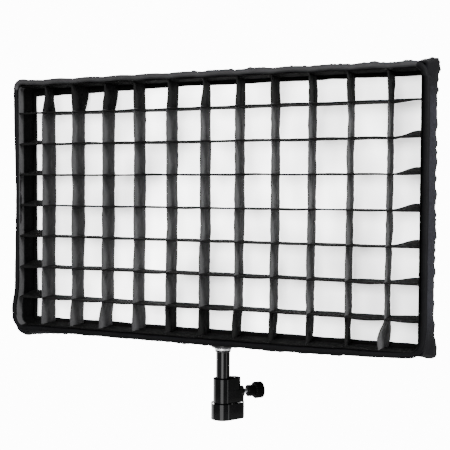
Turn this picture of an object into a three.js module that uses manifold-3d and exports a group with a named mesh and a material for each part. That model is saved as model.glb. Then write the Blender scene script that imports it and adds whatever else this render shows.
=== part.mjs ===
// A slim LED panel lamp wearing a rectangular fabric softbox with an egg-crate grid,
// carried by a rear yoke on the top of a light stand.
//
// Units are millimetres and +Z is up. X runs across the panel, -Y is the way the light
// leaves, and the origin is the centre of the flat underside of the stand's lower collar.
// The head is modelled in a group of its own, whose Y is the depth behind the front rim
// and whose Z is the height above the panel's centre.

import * as THREE from 'three';
import { mergeVertices } from 'three/addons/utils/BufferGeometryUtils.js';
import Module from 'manifold-3d';

// ---------- driving dimensions ----------

const GAP = 0.3; // between pieces that touch

// Softbox front and its grid
const FRONT_HALF_WIDTH = 300;
const FRONT_HALF_HEIGHT = 182;
const FRONT_RADIUS = 20;
const COLUMNS = 12;
const ROWS = 8;
const COLUMN_PITCH = 50;
const ROW_PITCH = 44.5;
const CLOTH = 1.2;
const STRIP_THICKNESS = 1;
const STRIP_FRONT = 1.5;
const STRIP_BACK = 35.5;
const LAP_CLEARANCE = 0.4;

// Rim: a fabric sleeve around the rods of the front frame
const SLEEVE_WIDTH = 8;
const SLEEVE_DEPTH = 9;
const SLEEVE_WALL = 0.9;
const ROD_RADIUS = 2.7;
const ROD_DEPTH = 5;
const ELBOW_LEG = 14;

// Diffuser and the black band around it
const BAND_DEPTHS = [37, 38.3];
const DIFFUSER_DEPTHS = [38.7, 39.6];
const WINDOW_HALF_WIDTH = 285;
const WINDOW_HALF_HEIGHT = 168;

// Skirt and its elastic hem, which grips the lamp's back edge
const SKIRT_INSET = 0.4;
const SKIRT_BACK = 58.4;
const HEM_BACK = 62.5;

// Lamp
const LAMP_HALF_WIDTH = 294;
const LAMP_HALF_HEIGHT = 176;
const LAMP_RADIUS = 9;
const LAMP_FRONT = 43;
const LAMP_BACK = 58;
const LAMP_WALL = 2.2;
const DRIVER_HALF_WIDTH = 84;
const DRIVER_HALF_HEIGHT = 78;
const DRIVER_BACK = 98;
const DRIVER_WALL = 2.5;
const COVER_THICKNESS = 3;
const CABLE_HOLE = [20, 15];

// Tilt axis and yoke
const AXIS_DEPTH = 82;
const YOKE_INNER = 88;
const YOKE_THICKNESS = 5;
const YOKE_HALF_DEPTH = 13;
const CROSSBAR_BOTTOM = -156;
const CROSSBAR_THICKNESS = 6;
const PIVOT_RADIUS = 4;
const BORE_CLEARANCE = 0.4;

// Receiver, spigot and stand, as heights from the panel's centre
const RECEIVER_RADIUS = 17.3;
const RECEIVER_BOTTOM = -199.2;
const RECEIVER_FLOOR = -161;
const RECEIVER_KNOB_HEIGHT = -182;
const SPIGOT_RADIUS = 8;
const SPIGOT_TOP = -166;
const RING_BOTTOM = -203;
const FLANGE_RADIUS = 11.4;
const TUBE_RADIUS = 10;
const TUBE_WALL = 2;
const TUBE_BOTTOM = -299;
const UPPER_COLLAR_TOP = -244;
const UPPER_COLLAR_BOTTOM = -278.7;
const EAR_STEP = -261; // where the upper collar's ear widens, going down
const COLLAR_TURN = 45; // degrees from the panel's right to the collars' ears and lock knob
const LOCK_HEIGHT = -265.2;
const LOCK_BOSS_END = 31.4;
const MID_TUBE_RADIUS = 12.5;
const MID_TUBE_TOP = -274;
const COLUMN_BOTTOM = -302;

const ROUND = 24; // sides of a turned piece
const SMALL_ROUND = 12; // sides of a small turned piece
const ARC = 4; // segments of a quarter corner

// ---------- materials ----------

const finish = (color, roughness, metalness = 0) =>
  new THREE.MeshStandardMaterial({ color, roughness, metalness });

const blackCloth = finish(0x1d1d1f, 0.85);
const gridCloth = finish(0x2b2b2d, 0.8);
const whiteCloth = finish(0xe9e9ea, 0.9);
const elastic = finish(0x151516, 0.9);
const rodMetal = finish(0x8d9094, 0.4, 0.8);
const elbowPlastic = finish(0x18181a, 0.5);
const lampMetal = finish(0x1f2022, 0.5, 0.5);
const boardWhite = finish(0xf2f2ee, 0.5);
const circuitGreen = finish(0x1e5a38, 0.5);
const darkPlastic = finish(0x141415, 0.45);
const yokeMetal = finish(0x202124, 0.45, 0.6);
const chrome = finish(0xd8dade, 0.12, 1);
const standBlack = finish(0x17181a, 0.25, 0.6);
const knobRubber = finish(0x101011, 0.6);

// ---------- solids ----------

const wasm = await Module();
wasm.setup();

/** The solid inside a closed surface. */
function solidOf(geometry) {
  const bare = new THREE.BufferGeometry();
  const source = geometry.index ? geometry.toNonIndexed() : geometry;
  bare.setAttribute('position', source.getAttribute('position'));
  const merged = mergeVertices(bare, 1e-4);
  return new wasm.Manifold(
    new wasm.Mesh({
      numProp: 3,
      vertProperties: merged.attributes.position.array,
      triVerts: new Uint32Array(merged.index.array),
    }),
  );
}

/** The surface of a solid. */
function geometryOf(solid) {
  const mesh = solid.getMesh();
  const geometry = new THREE.BufferGeometry();
  geometry.setAttribute('position', new THREE.BufferAttribute(mesh.vertProperties, 3));
  geometry.setIndex(new THREE.BufferAttribute(mesh.triVerts, 1));
  geometry.computeVertexNormals();
  return geometry;
}

const cut = (geometry, ...tools) =>
  geometryOf(tools.reduce((solid, tool) => solid.subtract(solidOf(tool)), solidOf(geometry)));

const join = (...geometries) =>
  geometryOf(geometries.map(solidOf).reduce((solid, other) => solid.add(other)));

/** A block from its lowest to its highest corner. */
function block(low, high) {
  const size = high.map((value, i) => value - low[i]);
  const centre = high.map((value, i) => (value + low[i]) / 2);
  return new THREE.BoxGeometry(...size).translate(...centre);
}

/** A shape drawn in X and height, extruded backwards between two depths. */
function plate(shape, [front, back]) {
  return new THREE.ExtrudeGeometry(shape, {
    depth: back - front,
    bevelEnabled: false,
    curveSegments: ARC,
  })
    .rotateX(Math.PI / 2)
    .translate(0, back, 0);
}

/** A shape drawn in plan, extruded upwards between two heights. */
function prism(shape, [bottom, top], curveSegments = ROUND / 2) {
  return new THREE.ExtrudeGeometry(shape, {
    depth: top - bottom,
    bevelEnabled: false,
    curveSegments,
  }).translate(0, 0, bottom);
}

function roundedRectangle(halfWidth, halfHeight, radius) {
  const shape = new THREE.Shape();
  const [x, z] = [halfWidth - radius, halfHeight - radius];
  shape.absarc(x, -z, radius, -Math.PI / 2, 0);
  shape.absarc(x, z, radius, 0, Math.PI / 2);
  shape.absarc(-x, z, radius, Math.PI / 2, Math.PI);
  shape.absarc(-x, -z, radius, Math.PI, 1.5 * Math.PI);
  shape.closePath();
  return shape;
}

/** A rounded rectangle inset by a distance, with its corner radius reduced to match. */
const inset = (halfWidth, halfHeight, radius, distance) =>
  roundedRectangle(halfWidth - distance, halfHeight - distance, radius - distance);

/** The flat ring between two rounded rectangles that are inset from the same outline. */
function ring(halfWidth, halfHeight, radius, outer, inner) {
  const shape = inset(halfWidth, halfHeight, radius, outer);
  shape.holes.push(inset(halfWidth, halfHeight, radius, inner));
  return shape;
}

/** A turned solid: pairs of radius and distance along the axis, which is 'x', 'y' or 'z'. */
function turned(profile, axis, sides = ROUND) {
  const points = profile.map(([radius, along]) => new THREE.Vector2(radius, along));
  const geometry = new THREE.LatheGeometry(points, sides);
  if (axis === 'x') geometry.rotateZ(-Math.PI / 2);
  if (axis === 'z') geometry.rotateX(Math.PI / 2);
  return geometry;
}

/** A plain cylinder along an axis, from one distance to another. */
const cylinder = (radius, [from, to], axis, sides = ROUND) =>
  turned([[0, from], [radius, from], [radius, to], [0, to]], axis, sides);

/** A hollow cylinder with open ends. */
const tube = (inner, outer, [from, to], axis, sides = ROUND) =>
  turned([[inner, from], [outer, from], [outer, to], [inner, to], [inner, from]], axis, sides);

/** A knob head with flutes around its rim, from one distance along +X to another. */
function flutedHead(radius, [from, to], flutes) {
  const shape = new THREE.Shape();
  const steps = flutes * 2;
  for (let i = 0; i < steps; i++) {
    const angle = (2 * Math.PI * i) / steps;
    const reach = i % 2 ? radius * 0.92 : radius;
    const point = [reach * Math.cos(angle), reach * Math.sin(angle)];
    if (i) shape.lineTo(...point);
    else shape.moveTo(...point);
  }
  shape.closePath();
  return new THREE.ExtrudeGeometry(shape, { depth: to - from, bevelEnabled: false })
    .translate(0, 0, from)
    .rotateY(Math.PI / 2);
}

function part(name, geometry, material, position = [0, 0, 0], rotation = [0, 0, 0]) {
  const mesh = new THREE.Mesh(geometry, material);
  mesh.name = name;
  mesh.position.set(...position);
  mesh.rotation.set(...rotation);
  return mesh;
}

function group(...children) {
  const made = new THREE.Group();
  made.add(...children);
  return made;
}

// ---------- grid ----------

const BORDER_CLEARANCE = SLEEVE_WIDTH + 0.6; // the border's outside, inset from the front outline
const BORDER_INSIDE = BORDER_CLEARANCE + CLOTH;
const STRIP_END = BORDER_INSIDE + 0.4;

/** A strip of the egg crate lying along `length`, with half-lap slots at each crossing. */
function strip(halfLength, slotPlaces, slotFront, slotBack) {
  const half = STRIP_THICKNESS / 2;
  const slotHalf = half + LAP_CLEARANCE;
  const body = block([-halfLength, STRIP_FRONT, -half], [halfLength, STRIP_BACK, half]);
  const slots = slotPlaces.map((x) =>
    block([x - slotHalf, slotFront, -half - 1], [x + slotHalf, slotBack, half + 1]),
  );
  return cut(body, ...slots);
}

function makeGrid() {
  const columnPlaces = Array.from(
    { length: COLUMNS - 1 },
    (_, i) => (i + 1 - COLUMNS / 2) * COLUMN_PITCH,
  );
  const rowPlaces = Array.from({ length: ROWS - 1 }, (_, j) => (ROWS / 2 - j - 1) * ROW_PITCH);
  const lap = (STRIP_FRONT + STRIP_BACK) / 2;
  const upright = strip(
    FRONT_HALF_HEIGHT - STRIP_END,
    rowPlaces,
    lap - LAP_CLEARANCE,
    STRIP_BACK + 1,
  );
  const level = strip(FRONT_HALF_WIDTH - STRIP_END, columnPlaces, 0, lap + LAP_CLEARANCE);
  const border = plate(
    ring(FRONT_HALF_WIDTH, FRONT_HALF_HEIGHT, FRONT_RADIUS, BORDER_CLEARANCE, BORDER_INSIDE),
    [1, 36],
  );
  return group(
    part('grid_border', border, gridCloth),
    ...columnPlaces.map((x, i) =>
      part(
        `grid_upright_${String(i + 1).padStart(2, '0')}`,
        upright,
        gridCloth,
        [x, 0, 0],
        [0, -Math.PI / 2, 0],
      ),
    ),
    ...rowPlaces.map((z, j) => part(`grid_level_${j + 1}`, level, gridCloth, [0, 0, z])),
  );
}

// ---------- softbox ----------

/** A channel that follows the front outline and is open at the back. */
function channel(radius, outer, inner, wall, [front, back]) {
  const outline = [FRONT_HALF_WIDTH, FRONT_HALF_HEIGHT, radius];
  const body = plate(ring(...outline, outer, inner), [front, back]);
  const groove = plate(ring(...outline, outer + wall, inner - wall), [front + wall, back + 1]);
  return cut(body, groove);
}

/** A corner elbow of the front frame, with a straight leg at each end. */
function makeElbow(bend) {
  const k = 0.5523 * bend; // handle length of a Bezier quarter circle
  const point = (x, z) => new THREE.Vector3(x, 0, z);
  const path = new THREE.CurvePath();
  path.add(new THREE.LineCurve3(point(bend, -ELBOW_LEG), point(bend, 0)));
  path.add(
    new THREE.CubicBezierCurve3(point(bend, 0), point(bend, k), point(k, bend), point(0, bend)),
  );
  path.add(new THREE.LineCurve3(point(0, bend), point(-ELBOW_LEG, bend)));
  const section = new THREE.Shape().absarc(0, 0, ROD_RADIUS, 0, 2 * Math.PI);
  return new THREE.ExtrudeGeometry(section, { steps: 8, extrudePath: path, curveSegments: 4 });
}

function makeFrame() {
  const centreline = SLEEVE_WIDTH / 2;
  const x = FRONT_HALF_WIDTH - centreline;
  const z = FRONT_HALF_HEIGHT - centreline;
  const straightX = FRONT_HALF_WIDTH - FRONT_RADIUS - ELBOW_LEG - GAP;
  const straightZ = FRONT_HALF_HEIGHT - FRONT_RADIUS - ELBOW_LEG - GAP;
  const level = cylinder(ROD_RADIUS, [-straightX, straightX], 'x', 10);
  const upright = cylinder(ROD_RADIUS, [-straightZ, straightZ], 'z', 10);
  const elbow = makeElbow(FRONT_RADIUS - centreline);
  const cornerX = FRONT_HALF_WIDTH - FRONT_RADIUS;
  const cornerZ = FRONT_HALF_HEIGHT - FRONT_RADIUS;
  return group(
    part('frame_rod_top', level, rodMetal, [0, ROD_DEPTH, z]),
    part('frame_rod_bottom', level, rodMetal, [0, ROD_DEPTH, -z]),
    part('frame_rod_left', upright, rodMetal, [-x, ROD_DEPTH, 0]),
    part('frame_rod_right', upright, rodMetal, [x, ROD_DEPTH, 0]),
    ...[
      ['top_right', 1, 1, 0],
      ['top_left', -1, 1, -90],
      ['bottom_left', -1, -1, 180],
      ['bottom_right', 1, -1, 90],
    ].map(([name, sideX, sideZ, turn]) =>
      part(
        `frame_elbow_${name}`,
        elbow,
        elbowPlastic,
        [sideX * cornerX, ROD_DEPTH, sideZ * cornerZ],
        [0, THREE.MathUtils.degToRad(turn), 0],
      ),
    ),
  );
}

function makeSkirt() {
  const front = SLEEVE_DEPTH + 0.4;
  const x = FRONT_HALF_WIDTH - SKIRT_INSET;
  const z = FRONT_HALF_HEIGHT - SKIRT_INSET;
  const level = block([-x, front, -CLOTH / 2], [x, SKIRT_BACK, CLOTH / 2]);
  const sideHalf = z - CLOTH - GAP;
  const upright = block([-CLOTH / 2, front, -sideHalf], [CLOTH / 2, SKIRT_BACK, sideHalf]);
  return group(
    part('skirt_top', level, blackCloth, [0, 0, z - CLOTH / 2]),
    part('skirt_bottom', level, blackCloth, [0, 0, CLOTH / 2 - z]),
    part('skirt_left', upright, blackCloth, [CLOTH / 2 - x, 0, 0]),
    part('skirt_right', upright, blackCloth, [x - CLOTH / 2, 0, 0]),
  );
}

function makeSoftbox() {
  const sleeve = channel(FRONT_RADIUS, 0, SLEEVE_WIDTH, SLEEVE_WALL, [0, SLEEVE_DEPTH]);
  const hemInside = FRONT_HALF_WIDTH - LAMP_HALF_WIDTH - 0.7;
  const hemRadius = 14;
  const hemWall = 1.1;
  const hem = channel(hemRadius, SKIRT_INSET, hemInside, hemWall, [SKIRT_BACK + GAP, HEM_BACK]);
  const cordInset = SKIRT_INSET + hemWall + GAP;
  const cordOutline = [FRONT_HALF_WIDTH, FRONT_HALF_HEIGHT, hemRadius];
  const cordInside = hemInside - hemWall - GAP;
  const cord = plate(ring(...cordOutline, cordInset, cordInside), [HEM_BACK - 2.5, HEM_BACK - 0.2]);
  const sheetOutline = [FRONT_HALF_WIDTH, FRONT_HALF_HEIGHT, FRONT_RADIUS - 4];
  const sheetInset = 2.4;
  const band = inset(...sheetOutline, sheetInset);
  band.holes.push(roundedRectangle(WINDOW_HALF_WIDTH, WINDOW_HALF_HEIGHT, 6));
  return group(
    part('rim_sleeve', sleeve, blackCloth),
    makeFrame(),
    makeSkirt(),
    part('diffuser_band', plate(band, BAND_DEPTHS), blackCloth),
    part('diffuser', plate(inset(...sheetOutline, sheetInset), DIFFUSER_DEPTHS), whiteCloth),
    part('elastic_hem', hem, blackCloth),
    part('elastic_cord', cord, elastic),
  );
}

// ---------- lamp ----------

const LAMP_OUTLINE = [LAMP_HALF_WIDTH, LAMP_HALF_HEIGHT, LAMP_RADIUS];
const DRIVER_OUTLINE = [DRIVER_HALF_WIDTH, DRIVER_HALF_HEIGHT, 8];
const BOARD_DEPTHS = [46, 48];

const DRIVER_BOARD_FRONT = 66;

// Controls on the cover, as X and height
const DIMMER_PLACE = [-30, 24];
const COLOUR_PLACE = [30, 24];
const SWITCH_PLACE = [40, -44];
const SWITCH_CUTOUT = [7, 10.6];
const SWITCH_TILT = 7; // degrees either side of level
const INLET_PLACE = [-34, -44];
const INLET_CUTOUT = [14, 10.5];
const DIAL_SHAFT = 3;
const COVER_FRONT = DRIVER_BACK + GAP;
const COVER_BACK = COVER_FRONT + COVER_THICKNESS;

/** The opening that passes the cable from the board to the driver. */
const cableHole = (front, back) =>
  block([-CABLE_HOLE[0], front, -CABLE_HOLE[1]], [CABLE_HOLE[0], back, CABLE_HOLE[1]]);

function makeHousing() {
  const floor = LAMP_BACK - LAMP_WALL;
  const tray = cut(
    plate(inset(...LAMP_OUTLINE, 0), [LAMP_FRONT, LAMP_BACK]),
    plate(inset(...LAMP_OUTLINE, LAMP_WALL), [LAMP_FRONT - 1, floor]),
  );
  const bosses = [-200, 0, 200].flatMap((x) =>
    [-110, 110].map((z) =>
      cylinder(5, [BOARD_DEPTHS[1] + GAP, floor + 1], 'y', 10).translate(x, 0, z),
    ),
  );
  return cut(join(tray, ...bosses), cableHole(floor - 1, LAMP_BACK + 1));
}

const PIVOT_BOSS_LENGTH = 14;

function makeDriverBox() {
  const front = LAMP_BACK + GAP;
  const floor = front + DRIVER_WALL;
  const inside = DRIVER_HALF_WIDTH - DRIVER_WALL;
  const tray = cut(
    plate(inset(...DRIVER_OUTLINE, 0), [front, DRIVER_BACK]),
    plate(inset(...DRIVER_OUTLINE, DRIVER_WALL), [floor, DRIVER_BACK + 1]),
    cableHole(front - 1, floor + 1),
  );
  const bosses = [-1, 1].map((side) => {
    const ends = [side * (inside - PIVOT_BOSS_LENGTH), side * (inside + 1)].sort((a, b) => a - b);
    return cylinder(10, ends, 'x', SMALL_ROUND).translate(0, AXIS_DEPTH, 0);
  });
  const posts = [-50, 50].flatMap((x) =>
    [-52, 52].map((z) => cylinder(4, [floor - 1, DRIVER_BOARD_FRONT - GAP], 'y', 10).translate(x, 0, z)),
  );
  const bore = cylinder(
    PIVOT_RADIUS + BORE_CLEARANCE,
    [-DRIVER_HALF_WIDTH - 1, DRIVER_HALF_WIDTH + 1],
    'x',
    SMALL_ROUND,
  ).translate(0, AXIS_DEPTH, 0);
  return cut(join(tray, ...bosses, ...posts), bore);
}

/** The driver's circuit board: heat sink, transformer, capacitors and two potentiometers. */
function makeDriverBoard() {
  const top = DRIVER_BOARD_FRONT + 1.6;
  const seat = top - 0.5;
  const base = block([-60, DRIVER_BOARD_FRONT, -62], [60, top, 62]);
  const fins = [0, 1, 2, 3, 4].map((i) =>
    block([-52 + i * 7, seat, -28], [-49.5 + i * 7, top + 17, 8]),
  );
  const pots = [DIMMER_PLACE, COLOUR_PLACE].map(([x, z]) =>
    cylinder(8, [seat, top + 22], 'y', ROUND).translate(x, 0, z),
  );
  const shaftHoles = [DIMMER_PLACE, COLOUR_PLACE].map(([x, z]) =>
    cylinder(DIAL_SHAFT + BORE_CLEARANCE, [top + 18, top + 23], 'y', SMALL_ROUND).translate(x, 0, z),
  );
  const solids = join(
    base,
    block([-56, seat, -30], [-17, top + 4, 10]),
    ...fins,
    block([2, seat, -30], [34, top + 18, 2]),
    ...[-24, -6].map((z) => cylinder(6.5, [seat, top + 18], 'y', SMALL_ROUND).translate(46, 0, z)),
    ...pots,
  );
  return cut(solids, ...shaftHoles);
}

function makeDriverCover() {
  const depths = [COVER_FRONT - 1, COVER_BACK + 1];
  const opening = ([x, z], [halfWidth, halfHeight]) =>
    block([x - halfWidth, depths[0], z - halfHeight], [x + halfWidth, depths[1], z + halfHeight]);
  const vents = [-48, -24, 0, 24, 48].flatMap((x) =>
    [60, -68].map((z) => opening([x, z], [6, 1.6])),
  );
  const shaftHoles = [DIMMER_PLACE, COLOUR_PLACE].map(([x, z]) =>
    cylinder(DIAL_SHAFT + BORE_CLEARANCE, depths, 'y', SMALL_ROUND).translate(x, 0, z),
  );
  return cut(
    plate(inset(...DRIVER_OUTLINE, 0), [COVER_FRONT, COVER_BACK]),
    opening(SWITCH_PLACE, SWITCH_CUTOUT),
    opening(INLET_PLACE, INLET_CUTOUT),
    ...vents,
    ...shaftHoles,
  );
}

/** A rotary dial: a fluted head outside the cover and a shaft through it. */
function makeDial() {
  const alongX = join(
    cylinder(DIAL_SHAFT, [-14, 1], 'x', SMALL_ROUND),
    flutedHead(10, [GAP, 12], 18),
  );
  return alongX.rotateZ(Math.PI / 2);
}

/** A rocker about X, with two faces that meet in a shallow V at the middle. */
function makeRocker() {
  const outline = new THREE.Shape();
  outline.moveTo(-9, -4.5);
  outline.lineTo(9, -4.5);
  outline.lineTo(9, 3.5);
  outline.lineTo(0, 2.2);
  outline.lineTo(-9, 3.5);
  outline.closePath();
  const halfWidth = SWITCH_CUTOUT[0] - 0.8;
  return new THREE.ExtrudeGeometry(outline, { depth: 2 * halfWidth, bevelEnabled: false })
    .translate(0, 0, -halfWidth)
    .rotateY(-Math.PI / 2);
}

/** The mains inlet: a flanged block with a socket open to the rear. */
function makeInlet() {
  const [x, z] = INLET_CUTOUT;
  return cut(
    join(
      block([GAP - x, -13, GAP - z], [x - GAP, GAP + 1, z - GAP]),
      block([-x - 2.5, GAP, -z - 2], [x + 2.5, 2.5, z + 2]),
    ),
    block([-10.5, -10, -6.5], [10.5, 4, 6.5]),
  );
}

function makeLamp() {
  const at = ([x, z], depth) => [x, depth, z];
  return group(
    part('lamp_housing', makeHousing(), lampMetal),
    part('led_board', plate(inset(...LAMP_OUTLINE, LAMP_WALL + 0.5), BOARD_DEPTHS), boardWhite),
    part('driver_box', makeDriverBox(), lampMetal),
    part('driver_board', makeDriverBoard(), circuitGreen),
    part('driver_cover', makeDriverCover(), darkPlastic),
    part('dimmer_dial', makeDial(), knobRubber, at(DIMMER_PLACE, COVER_BACK)),
    part('colour_dial', makeDial(), knobRubber, at(COLOUR_PLACE, COVER_BACK)),
    part(
      'power_switch',
      makeRocker(),
      darkPlastic,
      at(SWITCH_PLACE, COVER_BACK - 1),
      [THREE.MathUtils.degToRad(SWITCH_TILT), 0, 0],
    ),
    part('power_inlet', makeInlet(), darkPlastic, at(INLET_PLACE, COVER_BACK)),
  );
}

// ---------- yoke ----------

function makeYokeFrame() {
  const outer = YOKE_INNER + YOKE_THICKNESS;
  const top = YOKE_HALF_DEPTH;
  const corner = 10;
  const outline = new THREE.Shape();
  outline.moveTo(-outer, top);
  outline.lineTo(-outer, CROSSBAR_BOTTOM + corner);
  outline.absarc(-outer + corner, CROSSBAR_BOTTOM + corner, corner, Math.PI, 1.5 * Math.PI);
  outline.absarc(outer - corner, CROSSBAR_BOTTOM + corner, corner, 1.5 * Math.PI, 2 * Math.PI);
  outline.lineTo(outer, top);
  outline.lineTo(YOKE_INNER, top);
  outline.lineTo(YOKE_INNER, CROSSBAR_BOTTOM + CROSSBAR_THICKNESS);
  outline.lineTo(-YOKE_INNER, CROSSBAR_BOTTOM + CROSSBAR_THICKNESS);
  outline.lineTo(-YOKE_INNER, top);
  outline.closePath();
  const bent = plate(outline, [-YOKE_HALF_DEPTH, YOKE_HALF_DEPTH]);

  // The side view: straight below the axis and a half circle above it
  const side = new THREE.Shape();
  side.moveTo(-YOKE_HALF_DEPTH, CROSSBAR_BOTTOM - 1);
  side.lineTo(YOKE_HALF_DEPTH, CROSSBAR_BOTTOM - 1);
  side.absarc(0, 0, YOKE_HALF_DEPTH, 0, Math.PI);
  side.closePath();
  const rounded = new THREE.ExtrudeGeometry(side, {
    depth: 2 * outer + 2,
    bevelEnabled: false,
    curveSegments: SMALL_ROUND,
  })
    .translate(0, 0, -outer - 1)
    .rotateX(Math.PI / 2)
    .rotateZ(Math.PI / 2);
  const body = geometryOf(solidOf(bent).intersect(solidOf(rounded)));
  const hole = PIVOT_RADIUS + BORE_CLEARANCE;
  return cut(
    body,
    cylinder(hole, [-outer - 1, outer + 1], 'x', SMALL_ROUND),
    cylinder(hole, [CROSSBAR_BOTTOM - 1, CROSSBAR_BOTTOM + CROSSBAR_THICKNESS + 1], 'z', SMALL_ROUND),
  );
}

/** A tilt knob on +X: a stud through the arm and into the lamp, and a fluted head. */
function makeTiltKnob() {
  const face = YOKE_INNER + YOKE_THICKNESS + GAP;
  return join(
    cylinder(PIVOT_RADIUS, [DRIVER_HALF_WIDTH - 10, face + 4], 'x', SMALL_ROUND),
    cylinder(11, [face, face + 6], 'x', 24),
    flutedHead(17, [face + 5, face + 22], 12),
  );
}

function makeReceiver() {
  const top = CROSSBAR_BOTTOM - GAP;
  const bore = SPIGOT_RADIUS + BORE_CLEARANCE;
  const body = turned(
    [
      [0, RECEIVER_BOTTOM],
      [RECEIVER_RADIUS - 2, RECEIVER_BOTTOM],
      [RECEIVER_RADIUS, RECEIVER_BOTTOM + 2],
      [RECEIVER_RADIUS, top],
      [0, top],
    ],
    'z',
  );
  const boss = cylinder(9, [8, 22], 'y', 24).translate(0, 0, RECEIVER_KNOB_HEIGHT);
  return cut(
    join(body, boss),
    cylinder(bore, [RECEIVER_BOTTOM - 1, RECEIVER_FLOOR], 'z'),
    cylinder(PIVOT_RADIUS + BORE_CLEARANCE, [RECEIVER_FLOOR - 1, top + 1], 'z', SMALL_ROUND),
    cylinder(3.4, [5, 23], 'y', SMALL_ROUND).translate(0, 0, RECEIVER_KNOB_HEIGHT),
  );
}

/** The bolt that hangs the receiver under the crossbar. */
function makeReceiverBolt() {
  const seat = CROSSBAR_BOTTOM + CROSSBAR_THICKNESS + GAP;
  return join(
    cylinder(8, [seat, seat + 5.5], 'z', 6),
    cylinder(PIVOT_RADIUS, [RECEIVER_FLOOR + 0.5, seat + 1], 'z', SMALL_ROUND),
  );
}

/** A clamping knob along +X: its stud tip, its hub and its fluted head. */
function makeClampKnob(tip, hubStart, headStart, end, headRadius) {
  return join(
    cylinder(3, [tip, hubStart + 1], 'x', SMALL_ROUND),
    cylinder(headRadius * 0.7, [hubStart, headStart + 1], 'x', 24),
    flutedHead(headRadius, [headStart, end], 20),
  );
}

function makeYoke() {
  const washer = tube(
    PIVOT_RADIUS + 0.5,
    15,
    [DRIVER_HALF_WIDTH + 0.4, YOKE_INNER - 0.4],
    'x',
    24,
  );
  const knob = makeTiltKnob();
  const turn = [0, 0, Math.PI];
  const made = group(
    part('yoke', makeYokeFrame(), yokeMetal),
    part('friction_washer_right', washer, elastic),
    part('friction_washer_left', washer, elastic, [0, 0, 0], turn),
    part('tilt_knob_right', knob, knobRubber),
    part('tilt_knob_left', knob, knobRubber, [0, 0, 0], turn),
    part('receiver', makeReceiver(), standBlack),
    part('receiver_bolt', makeReceiverBolt(), chrome),
    part(
      'receiver_knob',
      makeClampKnob(SPIGOT_RADIUS + 0.6, 25.5, 33, 45, 11),
      knobRubber,
      [0, 0, RECEIVER_KNOB_HEIGHT],
      [0, 0, Math.PI / 2],
    ),
  );
  made.position.y = AXIS_DEPTH;
  return made;
}

// ---------- stand ----------

function makeSpigot() {
  const base = RING_BOTTOM - GAP;
  return turned(
    [
      [0, base - 14],
      [6, base - 14],
      [6, base],
      [SPIGOT_RADIUS, base],
      [SPIGOT_RADIUS, -194],
      [6.4, -192],
      [6.4, -180],
      [SPIGOT_RADIUS, -178],
      [SPIGOT_RADIUS, SPIGOT_TOP - 1.5],
      [SPIGOT_RADIUS - 1.5, SPIGOT_TOP],
      [0, SPIGOT_TOP],
    ],
    'z',
  );
}

/** The riser: a tube with a flange and a plug at its top that takes the spigot's shank. */
function makeRiser() {
  const top = RING_BOTTOM - 2 * GAP;
  const shank = 6.4;
  const plugBottom = top - 15;
  return turned(
    [
      [shank, top],
      [shank, plugBottom],
      [TUBE_RADIUS - TUBE_WALL, plugBottom],
      [TUBE_RADIUS - TUBE_WALL, TUBE_BOTTOM],
      [TUBE_RADIUS, TUBE_BOTTOM],
      [TUBE_RADIUS, top - 3],
      [FLANGE_RADIUS, top - 2],
      [FLANGE_RADIUS, top],
      [shank, top],
    ],
    'z',
  );
}

/** The plan of a collar: the outline around a large circle at the tube and a small one at +X. */
function collarPlan(radius, smallRadius, smallPlace) {
  const lean = Math.asin((radius - smallRadius) / smallPlace);
  const from = Math.PI / 2 - lean;
  const shape = new THREE.Shape();
  shape.absarc(0, 0, radius, from, 2 * Math.PI - from);
  shape.absarc(smallPlace, 0, smallRadius, -from, from);
  shape.closePath();
  return shape;
}

/** The upper collar: a narrow ear above, a wider one below, and the lock knob's boss. */
function makeUpperCollar() {
  const body = prism(collarPlan(13.9, 9.5, 17), [UPPER_COLLAR_BOTTOM, UPPER_COLLAR_TOP], 14);
  const wideEar = prism(collarPlan(13.9, 11, 20.2), [UPPER_COLLAR_BOTTOM, EAR_STEP], 14);
  const boss = cylinder(8.5, [18, LOCK_BOSS_END], 'x', 24).translate(0, 0, LOCK_HEIGHT);
  return cut(
    join(body, wideEar, boss),
    cylinder(TUBE_RADIUS + 0.5, [UPPER_COLLAR_BOTTOM - 1, UPPER_COLLAR_TOP + 1], 'z'),
    cylinder(MID_TUBE_RADIUS + 0.4, [UPPER_COLLAR_BOTTOM - 1, MID_TUBE_TOP + GAP], 'z'),
    cylinder(3.4, [5, 34], 'x', SMALL_ROUND).translate(0, 0, LOCK_HEIGHT),
  );
}

function makeLowerCollar() {
  const top = UPPER_COLLAR_BOTTOM - GAP;
  const body = prism(collarPlan(17, 12.5, 19.8), [COLUMN_BOTTOM, top], 14);
  return cut(body, cylinder(MID_TUBE_RADIUS + 0.4, [COLUMN_BOTTOM + 2.4, top + 1], 'z'));
}

function makeStand() {
  const turn = [0, 0, THREE.MathUtils.degToRad(COLLAR_TURN)];
  return group(
    part('spigot', makeSpigot(), chrome),
    part(
      'riser_ring',
      tube(SPIGOT_RADIUS + 0.5, FLANGE_RADIUS + 0.6, [RING_BOTTOM, RECEIVER_BOTTOM - GAP], 'z'),
      chrome,
    ),
    part('riser_tube', makeRiser(), standBlack),
    part('upper_collar', makeUpperCollar(), standBlack, [0, 0, 0], turn),
    part('lower_collar', makeLowerCollar(), standBlack, [0, 0, 0], turn),
    part(
      'mid_tube',
      tube(TUBE_RADIUS + 0.6, MID_TUBE_RADIUS, [COLUMN_BOTTOM + 2.8, MID_TUBE_TOP], 'z'),
      standBlack,
    ),
    part(
      'lock_knob',
      makeClampKnob(TUBE_RADIUS + 0.8, 37.4, 47.6, 62, 12),
      knobRubber,
      [0, 0, LOCK_HEIGHT],
      turn,
    ),
  );
}

// ---------- whole object ----------

const head = group(makeGrid(), makeSoftbox(), makeLamp(), makeYoke());
head.position.set(0, -AXIS_DEPTH, -COLUMN_BOTTOM);

const stand = makeStand();
stand.position.z = -COLUMN_BOTTOM;

export default group(head, stand);
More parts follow.
